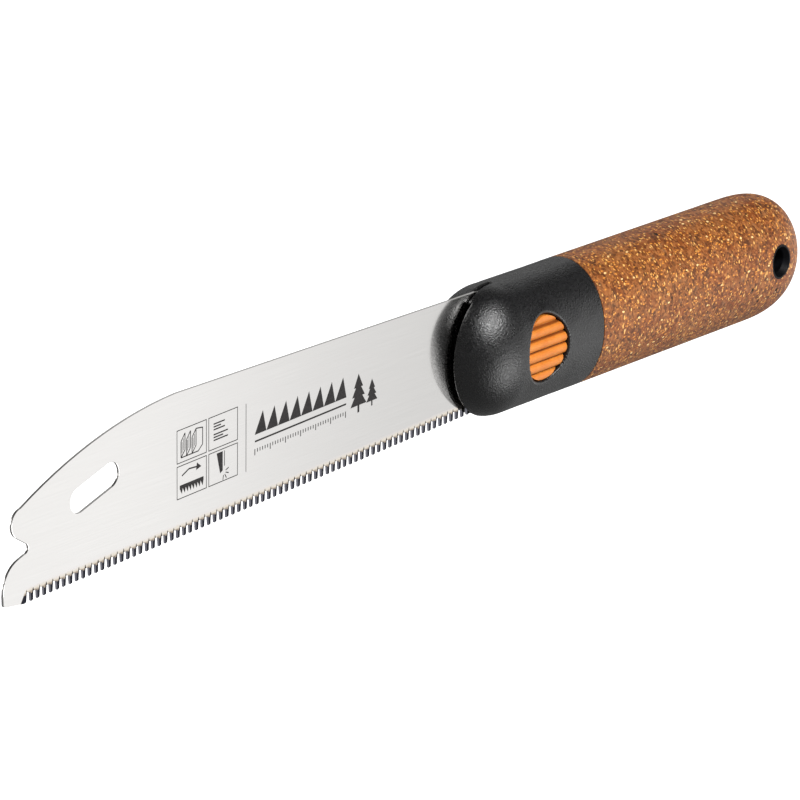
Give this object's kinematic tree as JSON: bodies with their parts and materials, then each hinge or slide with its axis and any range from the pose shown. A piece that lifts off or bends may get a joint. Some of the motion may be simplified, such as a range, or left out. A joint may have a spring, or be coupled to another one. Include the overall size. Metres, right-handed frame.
{
  "type": "folding pruning saw",
  "caption": "Folding pruning saw: a toothed steel blade swings out of the slotted head of an oval composite handle with a push-button lock and a hanging hole.",
  "frame": {"origin": "centre of the hanging hole in the handle's end, on the saw's middle plane", "axes": "+X along the handle towards its rounded end, the open blade points along -X; -Y is the side with the button; +Z is the spine side, the teeth face -Z"},
  "size_m": [0.3869, 0.0326, 0.0463],
  "materials": {
    "blade_steel": "fine brushed satin",
    "black_plastic": "fine pebbled satin",
    "grip_composite": "speckled pressed wood and cork, satin",
    "orange_plastic": "satin",
    "bush_plastic": "satin",
    "gasket_rubber": "matte",
    "spacer_nylon": "matte",
    "liner_steel": "stamped",
    "hardware_steel": "turned",
    "spring_steel": "drawn wire",
    "bronze": "turned",
    "insert_brass": "knurled"
  },
  "bodies": {
    "handle": {"head_shell_near": "black_plastic", "head_shell_far": "black_plastic", "tongue_spacer": "spacer_nylon", "grip": "grip_composite", "joint_gasket": "gasket_rubber", "pivot_axle": "hardware_steel", "pivot_screw": "hardware_steel", "stop_pin": "hardware_steel", "head_screws": "hardware_steel", "grip_screws": "hardware_steel", "button_spring": "spring_steel", "liner_near": "liner_steel", "liner_far": "liner_steel", "hanging_bush_near": "bush_plastic", "hanging_bush_far": "bush_plastic", "washer_near": "bronze", "washer_far": "bronze", "head_inserts": "insert_brass", "grip_inserts": "insert_brass"},
    "blade": {"saw_blade": "blade_steel", "tang_doubler_near": "liner_steel", "tang_doubler_far": "liner_steel", "tang_rivets": "hardware_steel", "pivot_bush": "bronze"},
    "button": {"lock_button": "orange_plastic", "lock_plunger": "hardware_steel", "button_pin": "hardware_steel"}
  },
  "joints": [
    {"name": "blade_fold", "type": "hinge", "parent": "handle", "child": "blade", "pos_m": [-0.1414, 0, -0.01335], "axis": [0, -1, 0], "range_deg": [0, 176]},
    {"name": "button_press", "type": "slide", "parent": "handle", "child": "button", "axis": [0, 1, 0], "range_m": [0, 0.004], "stiffness_N_per_m": 1200, "springref_m": -0.004, "deforming": ["button_spring"]}
  ]
}
